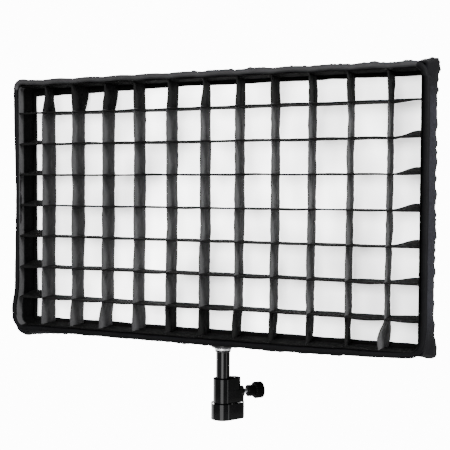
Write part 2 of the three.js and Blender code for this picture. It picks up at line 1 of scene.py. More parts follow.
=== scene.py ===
import random
from math import acos, asin, cos, pi, radians, sin, tan, tau
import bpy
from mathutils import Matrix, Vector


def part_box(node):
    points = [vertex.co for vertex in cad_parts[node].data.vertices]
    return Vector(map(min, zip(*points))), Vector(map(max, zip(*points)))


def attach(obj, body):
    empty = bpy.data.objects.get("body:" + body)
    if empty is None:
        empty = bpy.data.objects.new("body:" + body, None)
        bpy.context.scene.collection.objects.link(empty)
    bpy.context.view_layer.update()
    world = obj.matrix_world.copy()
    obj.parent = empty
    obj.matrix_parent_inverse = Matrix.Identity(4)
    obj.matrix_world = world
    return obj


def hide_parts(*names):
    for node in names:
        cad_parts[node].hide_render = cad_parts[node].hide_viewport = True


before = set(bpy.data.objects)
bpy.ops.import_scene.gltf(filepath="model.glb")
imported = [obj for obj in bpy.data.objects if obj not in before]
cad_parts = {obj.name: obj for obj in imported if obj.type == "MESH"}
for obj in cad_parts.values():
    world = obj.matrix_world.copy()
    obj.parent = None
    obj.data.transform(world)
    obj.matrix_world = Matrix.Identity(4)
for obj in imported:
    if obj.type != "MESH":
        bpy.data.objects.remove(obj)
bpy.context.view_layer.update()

from types import SimpleNamespace

import bpy
import bmesh
import numpy as np
from mathutils import Matrix, Vector, noise

# The head is laid out in millimetres: X across, depth behind the rim's front, and height above
# the panel's centre. Everything is placed from the CAD nodes' boxes.

MM = 0.001
rim_low, rim_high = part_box("rim_sleeve")
FRONT_Y = rim_low.y
CENTRE_Z = (rim_low.z + rim_high.z) / 2
HALF_WIDTH = rim_high.x / MM
HALF_HEIGHT = (rim_high.z - rim_low.z) / 2 / MM
RIM_BACK = (rim_high.y - FRONT_Y) / MM
AXIS = -FRONT_Y / MM  # the stand's axis, as a depth

COLUMNS = 12
ROWS = 8
CELL_WIDTH = 50.0
CELL_HEIGHT = 44.5
STRIP_DEPTH = 34
ALL_SMOOTH = 180  # an angle in degrees that leaves no edge sharp
LARGE_FACE = 12  # square millimetres, from which a face of a rounded piece is shaded flat
FILLET_POINTS = 5
RIM_PATH = (HALF_WIDTH - 4, HALF_HEIGHT - 4, 16, 2.2)  # half sizes, corner radius and spacing
CLAMP_TURN = radians(45)  # from the panel's right to the collars' ears and the lock knob

# The camera stands in front and to the right, a little above the panel's centre.
YAW = 0.4026
PITCH = 0.0405
ROLL = 0.0052
LENS = 69.67
CAMERA_SPOT = (484.5, -1051.1, 24.4)
LOOK = Vector((-sin(YAW) * cos(PITCH), cos(YAW) * cos(PITCH), -sin(PITCH)))

SURROUND = 0.25  # radiance all round
BACKDROP = 13.0  # radiance of the white backdrop
BACKDROP_END, BACKDROP_START = 28, 21  # degrees from its middle, where its fade ends and starts
FLOOR_LEVEL = -2.0
FLOOR_RADIUS = 6
# Light panels, in metres: name, azimuth from the front towards +X in degrees, distance from the
# stand's axis, lower and upper edge above the stand's foot, width and radiance.
LIGHTS = (
    ("key", 73, 2.2, 0.8, 1.8, 0.4, 290),
    ("front", -2, 2.7, 0.5, 1.5, 1.2, 56),
    ("low_front", 13, 2.4, -1.4, 0.0, 1.4, 4.2),
    ("left_strip", -96, 1.6, -1.2, 1.2, 1.0, 2.5),
    ("right_strip", 83, 1.6, -1.2, 0.2, 0.24, 2.6),
)


def to_head(point):
    """A scene point as (x, depth, height) in the head's millimetres."""
    return point.x / MM, (point.y - FRONT_Y) / MM, (point.z - CENTRE_Z) / MM


def span(node):
    """The lowest and highest corner of a CAD node's box, as head points."""
    return [to_head(corner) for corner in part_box(node)]


def middle(node):
    """The middle of a CAD node's box, as a head point."""
    return [(a + b) / 2 for a, b in zip(*span(node))]


def place(points):
    """Head points as scene points."""
    return np.asarray(points, float) * MM + np.array([0, FRONT_Y, CENTRE_Z])


def smooth_step(value):
    value = np.clip(value, 0, 1)
    return value * value * (3 - 2 * value)


def bell(value, centre, width):
    """A smooth bump of height 1 round a centre."""
    return np.exp(-(((np.asarray(value, float) - centre) / width) ** 2))


def waves(points, scale, seed):
    """Smooth noise from -1 to 1 at head points, with features of about `scale`."""
    offset = Vector((seed * 17.3, seed * 5.1, seed * 9.7))
    spots = points.reshape(-1, 3) / scale
    values = [noise.fractal(Vector(spot) + offset, 0.6, 2.0, 3) for spot in spots]
    return np.reshape(values, points.shape[:-1])


# ---------- camera, light and floor ----------


def link(name, data):
    """A new object in the scene, with a camera, a light or a mesh."""
    made = bpy.data.objects.new(name, data)
    bpy.context.scene.collection.objects.link(made)
    return made


def make_camera():
    data = bpy.data.cameras.new("camera")
    camera = link("camera", data)
    data.sensor_width = 36
    data.lens = LENS
    across = Vector((cos(YAW), sin(YAW), 0))
    up = across.cross(LOOK)
    right = across * cos(ROLL) + up * sin(ROLL)
    up = up * cos(ROLL) - across * sin(ROLL)
    turn = Matrix((right, up, -LOOK)).transposed()
    camera.matrix_world = Matrix.Translation(Vector(place(CAMERA_SPOT))) @ turn.to_4x4()
    bpy.context.scene.camera = camera


def add_area_light(name, azimuth, distance, low, high, width, radiance):
    """An upright light panel that faces the stand's axis; its power follows from its radiance."""
    data = bpy.data.lights.new(name, "AREA")
    data.shape = "RECTANGLE"
    data.size, data.size_y = width, high - low
    data.energy = radiance * pi * width * (high - low)
    light = link(name, data)
    turn = radians(azimuth)
    light.location = (distance * sin(turn), -distance * cos(turn), (low + high) / 2)
    light.rotation_euler = (pi / 2, 0, turn)


def make_world():
    """A dim surround with a bright white backdrop behind the object, away from the camera."""
    world = bpy.data.worlds.new("studio")
    bpy.context.scene.world = world
    world.use_nodes = True
    nodes = Nodes(world.node_tree, "Generated")
    facing = nodes.add("ShaderNodeVectorMath", {0: nodes.spot, 1: LOOK})
    facing.operation = "DOT_PRODUCT"
    start, end = (cos(radians(angle)) for angle in (BACKDROP_END, BACKDROP_START))
    fade = nodes.range(facing.outputs["Value"], SURROUND, BACKDROP, start, end, "SMOOTHSTEP")
    background = world.node_tree.nodes["Background"]
    nodes.feed(background.inputs["Color"], (1, 1, 1, 1))
    nodes.feed(background.inputs["Strength"], fade)


def make_floor():
    """A pale floor below what the camera sees."""
    count = 48
    turns = [tau * i / count for i in range(count)]
    rim = [(FLOOR_RADIUS * cos(a), FLOOR_RADIUS * sin(a), FLOOR_LEVEL) for a in turns]
    floor = link("floor", bpy.data.meshes.new("floor"))
    floor.data.from_pydata(rim, [], [tuple(range(count))])
    floor.data.materials.append(paint("floor_paper", (0.8, 0.8, 0.8), 0.9))


# ---------- materials ----------

# Woven cloths: dark and light colour, yarn pitch, roughness, sheen, specular level, relief and
# how fast the tone drifts.
CLOTHS = {
    # The rim's cloth in two copies: a lighter one as painted light on the front of its top band, and a
    # darker one as painted shade on the rest of it.
    "rim_cloth": (
        (0.002, 0.002, 0.0024), (0.009, 0.009, 0.0098), 0.0007, 0.7, 0.02, 0.2, 0.00008, 60
    ),
    "rim_side_cloth": ((0.001, 0.001, 0.0012), (0.002, 0.002, 0.0023), 0.0007, 0.7, 0.0, 0.03),
    # The skirt's tone drifts at random, widely enough to paint the shade of the wall's folds.
    "skirt_cloth": (
        (0.0004, 0.0004, 0.0007), (0.0085, 0.0085, 0.0115), 0.0007, 0.9, 0.02, 0.03, 0.00008, 240
    ),
    "grid_cloth": ((0.011, 0.011, 0.0115), (0.019, 0.019, 0.0195), 0.0006, 0.85, 0.05),
    # A darker copy of the grid cloth, painted shade on the level strips and on the uprights' ends.
    "level_cloth": ((0.002, 0.002, 0.002), (0.0035, 0.0035, 0.0035), 0.0006, 0.85, 0.0, 0.02),
    # Black cloth for the band round the diffuser, and painted shade on the grid's border as a darker copy
    # of the grid cloth.
    "border_cloth": ((0.0015, 0.0015, 0.0015), (0.003, 0.003, 0.003), 0.0007, 0.85, 0.0, 0.01),
    "white_cloth": ((0.74, 0.74, 0.75), (0.8, 0.8, 0.81), 0.0004, 0.9, 0.1, 0.05, 0.00003),
    "elastic": ((0.01, 0.01, 0.01), (0.02, 0.02, 0.02), 0.0012, 0.85, 0.35),
}
# Painted and moulded surfaces: colour, roughness, grain, relief and specular level.
PAINTS = {
    "stand_paint": ((0.0008, 0.0008, 0.001), 0.08, 900, 0.000003, 0.42),
    "collar_paint": ((0.0006, 0.0006, 0.0007), 0.1, 1600, 0.000006, 0.3),
    "knob_rubber": ((0.0006, 0.0006, 0.0006), 0.5, 1800, 0.00003, 0.03),
    "lamp_coat": ((0.012, 0.012, 0.013), 0.5, 1500, 0.00006, 0.3),
    "yoke_coat": ((0.01, 0.01, 0.011), 0.42, 1500, 0.00004, 0.3),
    "cover_plastic": ((0.009, 0.009, 0.01), 0.48, 2200, 0.00004, 0.3),
    "board_white": ((0.8, 0.8, 0.77), 0.4),
    "circuit_green": ((0.02, 0.13, 0.05), 0.4),
    "elbow_plastic": ((0.02, 0.02, 0.02), 0.5),
    "mark_white": ((0.6, 0.6, 0.6), 0.6),
    "warm_emitter": ((0.85, 0.5, 0.12), 0.3),
    "cool_emitter": ((0.85, 0.78, 0.3), 0.3),
}
# Bright metals: colour and roughness.
METALS = {
    "chrome": ((0.78, 0.79, 0.81), 0.12),
    "ring_chrome": ((0.86, 0.87, 0.88), 0.42),
    "steel": ((0.5, 0.51, 0.53), 0.3),
}
# A noise's values lie mostly between these two.
NOISE_LOW, NOISE_HIGH = 0.3, 0.7


class Nodes:
    """Adds shader nodes to a material's tree or the world's."""

    def __init__(self, tree, coordinates="Object"):
        self.tree = tree
        self.spot = tree.nodes.new("ShaderNodeTexCoord").outputs[coordinates]

    def feed(self, socket, value):
        """Links an input to another node's output, or sets its value."""
        if isinstance(value, bpy.types.NodeSocket):
            self.tree.links.new(value, socket)
        else:
            socket.default_value = value

    def add(self, kind, inputs):
        """A node, with each named input fed or set."""
        node = self.tree.nodes.new(kind)
        for key, value in inputs.items():
            self.feed(node.inputs[key], value)
        return node

    def drive(self, name, value):
        """Feeds or sets an input of the principled shader."""
        self.feed(self.tree.nodes["Principled BSDF"].inputs[name], value)

    def noise(self, scale, detail, stretch=None):
        """A noise texture. Features are about 1/scale metres; stretch scales each axis."""
        vector = self.spot
        if stretch:
            mapping = self.add("ShaderNodeMapping", {"Vector": vector, "Scale": stretch})
            vector = mapping.outputs["Vector"]
        inputs = {"Vector": vector, "Scale": scale, "Detail": detail}
        return self.add("ShaderNodeTexNoise", inputs).outputs["Fac"]

    def bands(self, axis, pitch):
        """Sine bands across an axis with a pitch in metres."""
        inputs = {"Vector": self.spot, "Scale": tau / 20 / pitch}
        node = self.add("ShaderNodeTexWave", inputs)
        node.wave_type = "BANDS"
        node.bands_direction = axis
        return node.outputs["Fac"]

    def axes(self):
        """The object coordinates' three parts."""
        return self.add("ShaderNodeSeparateXYZ", {"Vector": self.spot}).outputs

    def math(self, operation, first, second=0):
        node = self.add("ShaderNodeMath", {0: first, 1: second})
        node.operation = operation
        return node.outputs["Value"]

    def times(self, first, second):
        return self.math("MULTIPLY", first, second)

    def range(self, value, low, high, start=NOISE_LOW, end=NOISE_HIGH, easing="LINEAR"):
        """A value from start to end mapped to low to high."""
        inputs = {"Value": value, "From Min": start, "From Max": end, "To Min": low, "To Max": high}
        node = self.add("ShaderNodeMapRange", inputs)
        node.interpolation_type = easing
        return node.outputs["Result"]

    def tint(self, value, dark, light):
        """The base colour runs from dark to light with the value."""
        ramp = self.add("ShaderNodeValToRGB", {"Fac": value})
        stops = zip(ramp.color_ramp.elements, (NOISE_LOW, NOISE_HIGH), (dark, light))
        for stop, position, colour in stops:
            stop.position = position
            stop.color = (*colour, 1)
        self.drive("Base Color", ramp.outputs["Color"])

    def bump(self, height, distance, strength):
        """Relief from a height, on top of any relief that is there already."""
        inputs = {"Height": height, "Distance": distance, "Strength": strength}
        normal = self.tree.nodes["Principled BSDF"].inputs["Normal"]
        if normal.is_linked:
            inputs["Normal"] = normal.links[0].from_socket
        self.drive("Normal", self.add("ShaderNodeBump", inputs).outputs["Normal"])


def shader(name, base, roughness, specular=0.5, metallic=0.0):
    """A new material, and what adds its nodes."""
    material = bpy.data.materials.new(name)
    material.use_nodes = True
    nodes = Nodes(material.node_tree)
    nodes.drive("Base Color", (*base, 1))
    nodes.drive("Roughness", roughness)
    nodes.drive("Specular IOR Level", specular)
    nodes.drive("Metallic", metallic)
    return material, nodes


def cloth(name, dark, light, pitch, roughness, sheen, specular=0.05, relief=0.00008, drift=28):
    """Woven cloth: yarns along all three axes, tone that drifts, and fine fuzz."""
    material, nodes = shader(name, dark, roughness, specular)
    nodes.drive("Sheen Weight", sheen)
    nodes.drive("Sheen Roughness", 0.45)
    x, y, z = (nodes.bands(axis, pitch) for axis in "XYZ")
    weave = nodes.math("ADD", nodes.math("ADD", x, y), z)
    shade = nodes.noise(drift, 5)
    fuzz = nodes.noise(1400, 2)
    nodes.tint(nodes.math("ADD", nodes.times(shade, 0.7), nodes.times(fuzz, 0.3)), dark, light)
    nodes.drive("Roughness", nodes.range(fuzz, roughness - 0.08, roughness + 0.06))
    nodes.bump(weave, relief, 0.7)
    nodes.bump(shade, 0.0006, 0.5)
    return material


def paint(name, base, roughness, grain=2500, relief=0.00002, specular=0.5):
    """Painted, moulded or coated surface with a fine grain and slightly uneven gloss."""
    material, nodes = shader(name, base, roughness, specular)
    wear = nodes.noise(60, 6)
    nodes.tint(wear, base, [min(1, channel * 1.3 + 0.0004) for channel in base])
    nodes.drive("Roughness", nodes.range(wear, roughness * 0.85, min(1, roughness * 1.2)))
    nodes.bump(nodes.noise(grain, 3), relief, 0.6)
    return material


def polished(name, base, roughness):
    """Bright metal with faint lengthwise polishing lines."""
    material, nodes = shader(name, base, roughness, metallic=1.0)
    nodes.drive("Roughness", nodes.range(nodes.noise(90, 4), roughness * 0.7, roughness * 1.6))
    nodes.bump(nodes.noise(900, 3, (1, 1, 0.05)), 0.000004, 0.4)
    return material


def paint_corner_shade(material):
    """Darkens the cloth towards the softbox's corners as painted shade."""
    nodes = Nodes(material.node_tree)
    ramp = next(node for node in nodes.tree.nodes if node.type == "VALTORGB")
    tone = ramp.inputs["Fac"].links[0].from_socket
    x, _, z = nodes.axes()
    height = nodes.math("ABSOLUTE", nodes.math("SUBTRACT", z, CENTRE_Z))
    near_end = nodes.range(height, 0, 1, 0.125, 0.17)
    near_side = nodes.range(nodes.math("ABSOLUTE", x), 0, 1, 0.255, 0.285)
    corner_shade = nodes.times(near_end, near_side)
    kept = nodes.math("SUBTRACT", 1, nodes.times(corner_shade, 0.55))
    nodes.feed(ramp.inputs["Fac"], nodes.times(tone, kept))


def paint_diffuser_glow(material):
    """Paints light onto the diffuser as a glow: uneven, dimmer towards its two sides, and with painted
    fold shade.
    """
    nodes = Nodes(material.node_tree)
    x = nodes.axes()[0]
    painted_falloff = nodes.math("SUBTRACT", 1.05, nodes.times(nodes.times(x, x), 7.5))
    uneven = nodes.range(nodes.noise(7, 2), 1.1, 4.3)
    # Painted shade of the diffuser's folds.
    folds = nodes.range(nodes.noise(15, 1, (1.6, 1, 0.8)), 0.55, 1.4)
    nodes.drive("Emission Color", (1, 1, 1, 1))
    nodes.drive("Emission Strength", nodes.times(nodes.times(painted_falloff, uneven), folds))


def make_materials():
    made = {name: cloth(name, *values) for name, values in CLOTHS.items()}
    made.update({name: paint(name, *values) for name, values in PAINTS.items()})
    made.update({name: polished(name, *values) for name, values in METALS.items()})
    paint_corner_shade(made["skirt_cloth"])
    paint_diffuser_glow(made["white_cloth"])
    return SimpleNamespace(**made)


# ---------- mesh helpers ----------


def clean(data, distance, flat=False):
    """Joins a mesh's points that touch, and its flat faces too if asked to."""
    mesh = bmesh.new()
    mesh.from_mesh(data)
    bmesh.ops.remove_doubles(mesh, verts=mesh.verts, dist=distance)
    if flat:
        limit = radians(1)
        shape = {"verts": mesh.verts, "edges": mesh.edges}
        bmesh.ops.dissolve_limit(mesh, angle_limit=limit, delimit={"NORMAL"}, **shape)
    bmesh.ops.recalc_face_normals(mesh, faces=mesh.faces)
    mesh.to_mesh(data)
    mesh.free()


def add_mesh(name, points, faces, material, sharp=35):
    """A mesh object from head points, smooth except across edges sharper than an angle."""
    data = bpy.data.meshes.new(name)
    data.from_pydata([tuple(p) for p in place(points).reshape(-1, 3)], [], faces)
    clean(data, 1e-7)
    data.shade_smooth()
    data.set_sharp_from_angle(angle=radians(sharp))
    data.materials.append(material)
    return link(name, data)


def quads(rows, columns, wrap_rows, wrap_columns):
    """The quads of a grid of points, closed on itself along either way."""
    made = []
    for i in range(rows if wrap_rows else rows - 1):
        for j in range(columns if wrap_columns else columns - 1):
            k, m = (i + 1) % rows, (j + 1) % columns
            made.append((i * columns + j, i * columns + m, k * columns + m, k * columns + j))
    return made


def add_surface(name, points, material, wrap, thickness=0.0, sharp=35):
    """A surface through a grid of head points, as a sheet with a thickness if one is given."""
    rows, columns = points.shape[:2]
    piece = add_mesh(name, points, quads(rows, columns, *wrap), material, sharp)
    if thickness:
        solid = piece.modifiers.new("thickness", "SOLIDIFY")
        solid.thickness = thickness * MM
        solid.offset = 0
        settle(piece)
    return piece


def add_cloth(name, points, material, thickness, looped=True):
    """A sheet of cloth through a grid of head points, smooth all over."""
    return add_surface(name, points, material, (looped, False), thickness, ALL_SMOOTH)


def settle(piece):
    """Applies a piece's modifiers to its mesh."""
    evaluated = piece.evaluated_get(bpy.context.evaluated_depsgraph_get())
    data = bpy.data.meshes.new_from_object(evaluated)
    piece.modifiers.clear()
    piece.data = data


def rounded(profile):
    """Fillets a profile: each corner is (a, b) or (a, b, radius), and a radius becomes an arc."""
    made = []
    for i, corner in enumerate(profile):
        here = np.array(corner[:2], float)
        if len(corner) < 3 or not corner[2]:
            made.append(here)
            continue
        radius = corner[2]
        sides = [np.array(profile[k % len(profile)][:2], float) - here for k in (i - 1, i + 1)]
        sides = [side / np.linalg.norm(side) for side in sides]
        half = acos(np.clip(sides[0] @ sides[1], -1, 1)) / 2
        start, end = (here + side * (radius / tan(half)) for side in sides)
        halfway = (sides[0] + sides[1]) / np.linalg.norm(sides[0] + sides[1])
        centre = here + halfway * (radius / sin(half))
        for blend in np.linspace(0, 1, FILLET_POINTS):
            chord = start * (1 - blend) + end * blend - centre
            made.append(centre + chord / np.linalg.norm(chord) * radius)
    return made


def barrel(radius, start, end, start_edge=0, end_edge=0, inner=0):
    """The profile of a rod, or of a tube if it has an inner radius, with rounded outer edges."""
    return [(inner, start), (radius, start, start_edge), (radius, end, end_edge), (inner, end)]


def add_turned(name, profile, axis, material, centre=(0, 0, 0), sides=96):
    """A piece turned about an axis, from corners of (radius, along) and maybe a fillet's radius.

    A profile that starts on the axis is open and ends there too; any other is a loop.
    """
    angles = np.linspace(0, tau, sides, endpoint=False)
    rings = []
    for radius, along in rounded(profile):
        a, b, c = radius * np.cos(angles), radius * np.sin(angles), np.full(sides, along)
        rings.append(np.stack({"x": (c, a, b), "y": (b, c, a), "z": (a, b, c)}[axis], -1))
    closed = profile[0][0] != 0
    return add_surface(name, np.array(rings) + np.array(centre), material, (closed, True))


def add_on_axis(name, profile, material, sides=96):
    """A piece turned about the stand's axis."""
    return add_turned(name, profile, "z", material, (0, AXIS, 0), sides)


def merge(name, pieces):
    """Joins meshes into one piece, keeping their materials."""
    first = pieces[0]
    made = bmesh.new()
    data = bpy.data.meshes.new(name)
    for piece in pieces:
        for material in piece.data.materials:
            if material.name not in data.materials:
                data.materials.append(material)
        start = len(made.faces)
        made.from_mesh(piece.data)
        made.faces.ensure_lookup_table()
        slots = [data.materials.find(m.name) for m in piece.data.materials]
        for face in made.faces[start:]:
            face.material_index = slots[min(face.material_index, len(slots) - 1)]
    made.to_mesh(data)
    made.free()
    for piece in pieces[1:]:
        bpy.data.objects.remove(piece)
    first.data = data
    first.name = name
    return first


def flatten(piece):
    """Shades a piece's large faces flat and leaves its small ones, such as rounded edges, smooth."""
    data = piece.data
    data.shade_smooth()
    data.set_sharp_from_angle(angle=radians(40))
    for face in data.polygons:
        face.use_smooth = face.area < LARGE_FACE * MM * MM


def carve(piece, boxes):
    """Cuts blocks out of a piece."""
    cutter = add_blocks("cutter", boxes, piece.data.materials[0])
    cut = piece.modifiers.new("cut", "BOOLEAN")
    cut.operation = "DIFFERENCE"
    cut.solver = "EXACT"
    cut.object = cutter
    settle(piece)
    bpy.data.objects.remove(cutter)
    flatten(piece)


def soften(piece, width, angle=30):
    """Rounds a piece's edges that are sharper than an angle."""
    bevel = piece.modifiers.new("bevel", "BEVEL")
    bevel.width = width * MM
    bevel.segments = 3
    bevel.limit_method = "ANGLE"
    bevel.angle_limit = radians(angle)
    settle(piece)
    flatten(piece)


BLOCK_FACES = [(0, 1, 3, 2), (4, 6, 7, 5), (0, 4, 5, 1), (2, 3, 7, 6), (0, 2, 6, 4), (1, 5, 7, 3)]


def add_blocks(name, boxes, material, round_by=0.0):
    """Separate blocks, each between two head corners, as one mesh."""
    points, faces = [], []
    for low, high in boxes:
        faces += [tuple(len(points) + k for k in face) for face in BLOCK_FACES]
        x, depth, z = zip(low, high)
        points += [(a, b, c) for a in x for b in depth for c in z]
    piece = add_mesh(name, points, faces, material)
    if round_by:
        soften(piece, round_by)
    return piece


def slab(x, z, half_width, half_height, front, back):
    """A block's two corners, from its middle and half sizes in (x, height) and two depths."""
    return (x - half_width, front, z - half_height), (x + half_width, back, z + half_height)


def rounded_copy(node, name, material, width):
    """A piece with a CAD node's shape, its flat faces joined up and its edges rounded."""
    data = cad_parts[node].data.copy()
    clean(data, 1e-6, flat=True)
    data.materials.clear()
    data.materials.append(material)
    piece = link(name, data)
    soften(piece, width, angle=32)
    return piece


def walk(half_width, half_height, radius, spacing):
    """Even steps round a rounded rectangle at depth 0: positions and outward normals."""
    steps = 24
    quarters = np.repeat(np.arange(4), steps + 1)
    angles = (quarters - 1 + np.tile(np.arange(steps + 1) / steps, 4)) * pi / 2
    signs = np.array([(1, -1), (1, 1), (-1, 1), (-1, -1)])[quarters]
    corners = signs * (half_width - radius, half_height - radius)
    corners = corners + radius * np.column_stack([np.cos(angles), np.sin(angles)])
    loop = np.vstack([corners, corners[:1]])
    lengths = np.r_[0, np.cumsum(np.linalg.norm(np.diff(loop, axis=0), axis=1))]
    count = int(round(lengths[-1] / spacing))
    along = np.linspace(0, lengths[-1], count, endpoint=False)
    spots = np.stack([np.interp(along, lengths, loop[:, k]) for k in range(2)], -1)
    tangent = np.roll(spots, -1, axis=0) - np.roll(spots, 1, axis=0)
    tangent /= np.linalg.norm(tangent, axis=1, keepdims=True)
    normals = np.stack([tangent[:, 1], -tangent[:, 0]], -1)
    return [np.insert(pairs, 1, 0.0, axis=1) for pairs in (spots, normals)]


def shift(base, normals, out, depth):
    """The points of a walk, moved outwards and set to a depth."""
    points = base + normals * np.asarray(out)[:, None]
    points[:, 1] = depth
    return points


def patch(piece, material, test):
    """Gives a second material to the faces whose middles, as head points, pass a test."""
    piece.data.materials.append(material)
    for face in piece.data.polygons:
        face.material_index = int(test(*to_head(face.center)))


def ready(piece, body, slot, *nodes):
    """A piece rides on its body and stands for CAD nodes, which are hidden. Its slot is not used."""
    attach(piece, body)
    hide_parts(*nodes)


# ---------- softbox ----------


def rim_shift(base):
    """How far the soft rim strays outwards from its frame, in millimetres."""
    x, z = base[:, 0], base[:, 2]
    left, top, bottom = x < 20 - HALF_WIDTH, z > HALF_HEIGHT - 20, z < 20 - HALF_HEIGHT
    sway = np.where(left, 0.4 - 3.0 * bell(z, 10, 90) + 5.0 * bell(z, -152, 20), 0.0)
    sway -= 3.5 * bell(x, HALF_WIDTH, 40) * bell(z, -HALF_HEIGHT, 24)
    sway += np.where(top, -1.5 * smooth_step((x - 60) / 250), 0.0)
    between = 1 - np.abs(np.sin(np.pi * x / (2 * HALF_WIDTH / COLUMNS)))
    sway += np.where(top, -1.3 * between, 0.0)
    sway += np.where(bottom, 1.5 * smooth_step((220 - x) / 90) - 0.4 * between, 0.0)
    return sway


def corner_fill(base):
    """How much further the cloth fills out the upper left corner, in millimetres."""
    return 13.0 * bell(base[:, 0], -HALF_WIDTH, 12) * bell(base[:, 2], HALF_HEIGHT, 12)


def make_rim(look):
    """The tube of cloth round the front frame, with folds across it."""
    base, normals = walk(*RIM_PATH)
    sway = rim_shift(base) + corner_fill(base)
    crease = waves(base, 26, 3)
    fine = waves(base, 9, 4)
    rings = []
    for turn in np.linspace(0, tau, 20, endpoint=False):
        across, back = cos(turn), sin(turn)
        fold = 0.35 * crease + 0.2 * fine * (0.4 + 0.6 * abs(back))
        out = (4.1 + fold) * np.sign(across) * abs(across) ** 0.85 + sway
        depth = RIM_BACK / 2 + (4.4 + 0.5 * fold) * np.sign(back) * abs(back) ** 0.85
        rings.append(shift(base, normals, out, depth))
    rim = add_surface("rim", np.stack(rings, 1), look.rim_cloth, (True, True), sharp=ALL_SMOOTH)
    # Painted light and shade: the front of the top band keeps the lighter copy, and the rest of the rim
    # takes the darker copy.
    lit, side, front = HALF_HEIGHT - 14, HALF_WIDTH - 16, 5.5
    patch(rim, look.rim_side_cloth, lambda x, depth, z: z < lit or x > side or depth > front)
    ready(rim, "softbox", "black_cloth", "rim_sleeve")


def make_frame(look):
    """The sprung frame inside the rim: four rods and the elbows that join them, bowed with it."""
    low, high = span("frame_rod_top")
    depth, radius = (low[1] + high[1]) / 2, (high[1] - low[1]) / 2
    end_x, end_z = high[0], span("frame_rod_right")[1][2]
    base, normals = walk(*RIM_PATH)
    base = shift(base, normals, rim_shift(base) + corner_fill(base), depth)
    side = np.where(base[:, 0] > end_x, "right", np.where(base[:, 0] < -end_x, "left", ""))
    level = np.where(base[:, 2] > end_z, "top", np.where(base[:, 2] < -end_z, "bottom", ""))
    places = np.array([f"{b}_{a}".strip("_") for a, b in zip(side, level)])
    turns = np.linspace(0, tau, 20, endpoint=False)
    corners = ("top_left", "top_right", "bottom_left", "bottom_right")
    for name in ("top", "bottom", "left", "right", *corners):
        here = places == name
        first = np.flatnonzero(here & ~np.roll(here, 1))[0]
        order = (first + np.arange(here.sum())) % len(here)
        rings = []
        for spot, normal in zip(base[order], normals[order]):
            ring = spot + np.outer(radius * np.cos(turns), normal)
            ring[:, 1] = depth + radius * np.sin(turns)
            rings.append(ring)
        start, end = (np.tile(base[k], (len(turns), 1)) for k in (order[0], order[-1]))
        kind, slot = ("elbow", "elbow_plastic") if name in corners else ("rod", "rod_metal")
        material = look.elbow_plastic if name in corners else look.steel
        piece = add_surface(f"spring_{name}", np.array([start, *rings, end]), material, (False, True))
        ready(piece, "softbox", slot, f"frame_{kind}_{name}")


def make_skirt(look):
    """The gathered side wall: taut at the rim, ruffled towards the elastic at the back."""
    back = span("elastic_hem")[1][1]
    base, normals = walk(HALF_WIDTH - 0.6, HALF_HEIGHT - 0.6, 7, 2.2)
    # Insets and depths from the rim to the hem, whose last rows are tucked against the lamp.
    profile = [
        (3.4, 6.5), (1.6, 7.6), (0.9, 9.5), (0.7, 13), (0.6, 18), (0.6, 24), (0.7, 30), (0.8, 36),
        (0.8, 42), (0.9, 47), (1.2, 51), (1.5, 54.5), (2.0, 57.2), (2.8, 59.4), (3.8, 60.9),
        (4.4, back - 1.2), (4.9, back - 2.2), (5.25, back - 3.4), (5.25, back - 6), (5.25, back - 10),
    ]
    tucked = len(profile) - 4
    x, z = base[:, 0], base[:, 2]
    ruffle = waves(base, 9, 11)
    ruffle_two = waves(base, 5.5, 12)
    broad = waves(base, 45, 13)
    wrinkle = waves(base + np.roll(base, 2, axis=1), 6, 14)
    rightward, upward, downward = (
        np.clip(facing, 0, 1) for facing in (normals[:, 0], normals[:, 2], -normals[:, 2])
    )
    hanging = downward * smooth_step((270 - x) / 90)
    hanging *= 3.6 + 1.2 * broad + 0.9 * ruffle_two
    rising = upward * smooth_step((x + 130) / 120)
    rising *= 2.6 + 0.6 * broad + 1.8 * ruffle_two
    sway = rim_shift(base)
    from_corner = np.hypot(HALF_WIDTH - np.abs(x), HALF_HEIGHT - np.abs(z))
    peak = bell(x, HALF_WIDTH, 24) * bell(z, HALF_HEIGHT, 15)
    sag = bell(x, -HALF_WIDTH + 14, 40) * bell(z, -HALF_HEIGHT, 12)
    tip = bell(x, HALF_WIDTH, 12) * bell(z, -HALF_HEIGHT, 12)
    rings = []
    for j, (inset, depth) in enumerate(profile):
        loose = 0.12 if j >= tucked else 1
        share = smooth_step((depth - 8) / (back - 12)) * loose
        lift = 0.5 * broad * smooth_step((depth - 8) / 20)
        lift += (1.4 * ruffle + 1.1 * ruffle_two) * share + 0.35 * ruffle * bell(depth, 11, 5)
        lift += 1.5 * bell(from_corner, 0, 30) * share - 3.0 * bell(from_corner, 0, 9) * (j >= tucked)
        lift += 2.2 * rightward * share + sway * smooth_step((40 - depth) / 30)
        lift += (hanging + rising) * bell(depth, 17, 13) * loose
        ring = shift(base, normals, lift - inset, depth + 0.5 * ruffle * share)
        peaked = peak * smooth_step((depth - 12) / 32) * loose
        ring[:, 0] += peaked * (2.2 + 2.6 * wrinkle * sin(depth / 4))
        ring[:, 2] += peaked * (7.0 + 2.6 * wrinkle * cos(depth / 5))
        ring[:, 2] -= 9.0 * sag * bell(depth, 32, 18) * loose
        ring[:, 0] += 3.0 * tip * share
        ring[:, 2] -= 5.0 * tip * share
        rings.append(ring)
    skirt = add_cloth("skirt", np.stack(rings, 1), look.skirt_cloth, 0.7)
    nodes = ("skirt_top", "skirt_bottom", "skirt_left", "skirt_right", "elastic_hem")
    ready(skirt, "softbox", "black_cloth", *nodes)


def round_corners(x, z, half_width, half_height, radius):
    """Draws the square corners of a grid of points in to a radius."""
    over_x = np.clip(np.abs(x) - (half_width - radius), 0, None)
    over_z = np.clip(np.abs(z) - (half_height - radius), 0, None)
    share = 1 - np.maximum(over_x, over_z) / np.maximum(np.hypot(over_x, over_z), 1e-9)
    share = np.where((over_x > 0) & (over_z > 0), share, 0)
    return x - np.sign(x) * over_x * share, z - np.sign(z) * over_z * share


